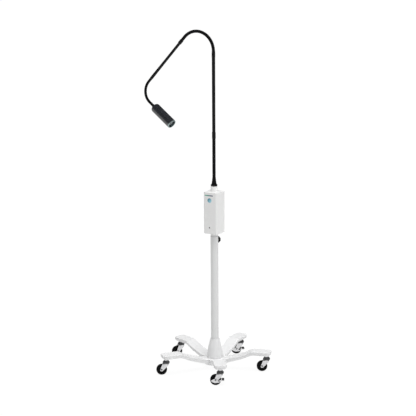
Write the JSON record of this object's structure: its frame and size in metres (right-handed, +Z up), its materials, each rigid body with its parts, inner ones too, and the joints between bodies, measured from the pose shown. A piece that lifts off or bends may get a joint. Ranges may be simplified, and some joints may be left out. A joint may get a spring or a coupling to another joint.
{
  "type": "mobile examination light",
  "caption": "Slim black lamp head on a hooked flexible neck above a touch-free control box, on a telescopic pole with a five-leg base on twin-fork swivel casters.",
  "frame": {"origin": "on the floor, on the axis of the pole", "axes": "+Z up; the control box's sensor faces -Y; the neck hooks over towards -X and its head points back towards +X, down and slightly to the front"},
  "size_m": [0.6708, 0.5333, 1.6785],
  "materials": {
    "base_paint": "satin pale grey-white powder coat over a cast alloy",
    "cover_plastic": "smooth semi-gloss pale grey plastic",
    "pole_paint": "smooth semi-gloss pale grey powder coat",
    "collar_plastic": "smooth white plastic",
    "bright_tube": "bright drawn tube",
    "housing_plastic": "fine-textured off-white moulded plastic",
    "black_plastic": "satin black plastic",
    "black_rubber": "matt black rubber",
    "flex_sleeve": "black sleeve over a sprung gooseneck",
    "black_metal": "satin black coating",
    "head_metal": "satin dark anodised barrel",
    "ring_metal": "satin silver-grey ring",
    "lens_glass": "clear moulded lens",
    "cast_metal": "plain cast and machined metal",
    "zinc_steel": "bright zinc plated pressed steel",
    "wheel_core": "satin black moulded plastic",
    "wheel_tread": "matt black tread",
    "blue_window": "translucent blue sensor window",
    "dark_window": "smoked indicator lens",
    "circuit_board": "glass-fibre board with solder mask"
  },
  "bodies": {
    "base": {"base_spider": "base_paint", "hub_shroud": "cover_plastic", "outer_pole": "pole_paint", "pole_foot_bolt": "zinc_steel", "pole_collar": "collar_plastic", "caster_stems": "zinc_steel", "raceway_caps": "black_plastic"},
    "clamp_knob": {"clamp_knob": "black_plastic", "clamp_stud": "zinc_steel"},
    "mast": {"inner_pole": "bright_tube", "pole_bracket": "cast_metal", "front_housing": "housing_plastic", "back_cover": "housing_plastic", "cover_screws": "zinc_steel", "sensor_window": "blue_window", "indicator_lens": "dark_window", "control_board": "circuit_board", "power_supply": "black_plastic", "mains_inlet": "black_plastic", "top_boss": "housing_plastic", "gland_nut": "black_plastic", "strain_relief": "black_rubber"},
    "lower_flex": {"lower_flex": "flex_sleeve"},
    "lower_tube": {"ferrule": "black_metal", "lower_tube": "black_metal"},
    "middle_flex_1": {"middle_flex_1": "flex_sleeve"},
    "middle_flex_2": {"middle_flex_2": "flex_sleeve"},
    "middle_flex_3": {"middle_flex_3": "flex_sleeve"},
    "upper_tube": {"neck_collar": "black_metal", "upper_tube": "black_metal"},
    "head_flex_1": {"head_flex_1": "flex_sleeve"},
    "head_flex_2": {"head_flex_2": "flex_sleeve"},
    "head_flex_3": {"head_flex_3": "flex_sleeve"},
    "head": {"head_housing": "head_metal", "heat_sink": "cast_metal", "led_module": "circuit_board", "condenser_lens": "lens_glass", "front_ring": "ring_metal"},
    "fork_front_right": {"caster_fork_front_right": "zinc_steel", "caster_axle_front_right": "zinc_steel"},
    "wheel_front_right": {"wheel_core_front_right": "wheel_core", "wheel_tyre_front_right": "wheel_tread"},
    "brake_front_right": {"brake_lever_front_right": "zinc_steel"},
    "fork_right": {"caster_fork_right": "zinc_steel", "caster_axle_right": "zinc_steel"},
    "wheel_right": {"wheel_core_right": "wheel_core", "wheel_tyre_right": "wheel_tread"},
    "fork_back": {"caster_fork_back": "zinc_steel", "caster_axle_back": "zinc_steel"},
    "wheel_back": {"wheel_core_back": "wheel_core", "wheel_tyre_back": "wheel_tread"},
    "brake_back": {"brake_lever_back": "zinc_steel"},
    "fork_left": {"caster_fork_left": "zinc_steel", "caster_axle_left": "zinc_steel"},
    "wheel_left": {"wheel_core_left": "wheel_core", "wheel_tyre_left": "wheel_tread"},
    "fork_front_left": {"caster_fork_front_left": "zinc_steel", "caster_axle_front_left": "zinc_steel"},
    "wheel_front_left": {"wheel_core_front_left": "wheel_core", "wheel_tyre_front_left": "wheel_tread"}
  },
  "joints": [
    {"name": "height", "type": "slide", "parent": "base", "child": "mast", "axis": [0, 0, 1], "range_m": [0, 0.25]},
    {"name": "clamp_turn", "type": "hinge", "parent": "base", "child": "clamp_knob", "pos_m": [0, 0.03, 0.652], "axis": [0, 1, 0], "range_deg": [-360, 0]},
    {"name": "lower_bend", "type": "hinge", "parent": "mast", "child": "lower_flex", "pos_m": [0, 0, 1.05], "axis": [0, -1, 0], "range_deg": [-20, 20]},
    {"name": "lower_sway", "type": "hinge", "parent": "lower_flex", "child": "lower_tube", "pos_m": [0, 0, 1.154], "axis": [1, 0, 0], "range_deg": [-20, 20]},
    {"name": "middle_sway", "type": "hinge", "parent": "lower_tube", "child": "middle_flex_1", "pos_m": [0, 0, 1.578], "axis": [1, 0, 0], "range_deg": [-30, 30]},
    {"name": "middle_bend", "type": "hinge", "parent": "middle_flex_1", "child": "middle_flex_2", "pos_m": [-0.03315, 0, 1.64904], "axis": [0, -1, 0], "range_deg": [-32, 5]},
    {"name": "middle_bend_2", "type": "hinge", "parent": "middle_flex_2", "child": "middle_flex_3", "pos_m": [-0.10888, 0, 1.66928], "axis": [0, -1, 0], "range_deg": [-32, 5]},
    {"name": "middle_bend_3", "type": "hinge", "parent": "middle_flex_3", "child": "upper_tube", "pos_m": [-0.1749, 0, 1.62572], "axis": [0, -1, 0], "range_deg": [-32, 5]},
    {"name": "head_bend", "type": "hinge", "parent": "upper_tube", "child": "head_flex_1", "pos_m": [-0.35448, 0, 1.43247], "axis": [-0.1108, -0.9885, 0.103], "range_deg": [-30, 5]},
    {"name": "head_bend_2", "type": "hinge", "parent": "head_flex_1", "child": "head_flex_2", "pos_m": [-0.38665, -0.00116, 1.38672], "axis": [-0.1108, -0.9885, 0.103], "range_deg": [-30, 5]},
    {"name": "head_bend_3", "type": "hinge", "parent": "head_flex_2", "child": "head_flex_3", "pos_m": [-0.37798, -0.00774, 1.33286], "axis": [-0.1108, -0.9885, 0.103], "range_deg": [-30, 5]},
    {"name": "head_sway", "type": "hinge", "parent": "head_flex_3", "child": "head", "pos_m": [-0.33463, -0.01623, 1.29805], "axis": [0.5576, 0.0239, 0.8297], "range_deg": [-40, 40]},
    {"name": "swivel_front_right", "type": "hinge", "parent": "base", "child": "fork_front_right", "pos_m": [0.154, -0.21196, 0.062], "axis": [0, 0, 1], "continuous": true},
    {"name": "roll_front_right", "type": "hinge", "parent": "fork_front_right", "child": "wheel_front_right", "pos_m": [0.13451, -0.22321, 0.0265], "axis": [0.5, -0.866, 0], "continuous": true},
    {"name": "brake_front_right", "type": "hinge", "parent": "fork_front_right", "child": "brake_front_right", "pos_m": [0.13451, -0.22321, 0.0265], "axis": [-0.5, 0.866, 0], "range_deg": [0, 12]},
    {"name": "swivel_right", "type": "hinge", "parent": "base", "child": "fork_right", "pos_m": [0.24918, 0.08096, 0.062], "axis": [0, 0, 1], "continuous": true},
    {"name": "roll_right", "type": "hinge", "parent": "fork_right", "child": "wheel_right", "pos_m": [0.22969, 0.06971, 0.0265], "axis": [0.5, -0.866, 0], "continuous": true},
    {"name": "swivel_back", "type": "hinge", "parent": "base", "child": "fork_back", "pos_m": [0, 0.262, 0.062], "axis": [0, 0, 1], "continuous": true},
    {"name": "roll_back", "type": "hinge", "parent": "fork_back", "child": "wheel_back", "pos_m": [-0.01865, 0.24942, 0.0265], "axis": [0.5592, -0.829, 0], "continuous": true},
    {"name": "brake_back", "type": "hinge", "parent": "fork_back", "child": "brake_back", "pos_m": [-0.01865, 0.24942, 0.0265], "axis": [-0.5592, 0.829, 0], "range_deg": [0, 12]},
    {"name": "swivel_left", "type": "hinge", "parent": "base", "child": "fork_left", "pos_m": [-0.24918, 0.08096, 0.062], "axis": [0, 0, 1], "continuous": true},
    {"name": "roll_left", "type": "hinge", "parent": "fork_left", "child": "wheel_left", "pos_m": [-0.26303, 0.06323, 0.0265], "axis": [0.788, -0.6157, 0], "continuous": true},
    {"name": "swivel_front_left", "type": "hinge", "parent": "base", "child": "fork_front_left", "pos_m": [-0.154, -0.21196, 0.062], "axis": [0, 0, 1], "continuous": true},
    {"name": "roll_front_left", "type": "hinge", "parent": "fork_front_left", "child": "wheel_front_left", "pos_m": [-0.17349, -0.22321, 0.0265], "axis": [0.5, -0.866, 0], "continuous": true}
  ],
  "couplings": [
    {"joint": "middle_bend_2", "follows": "middle_bend", "ratio": 1},
    {"joint": "middle_bend_3", "follows": "middle_bend", "ratio": 1},
    {"joint": "head_bend_2", "follows": "head_bend", "ratio": 1},
    {"joint": "head_bend_3", "follows": "head_bend", "ratio": 1}
  ]
}
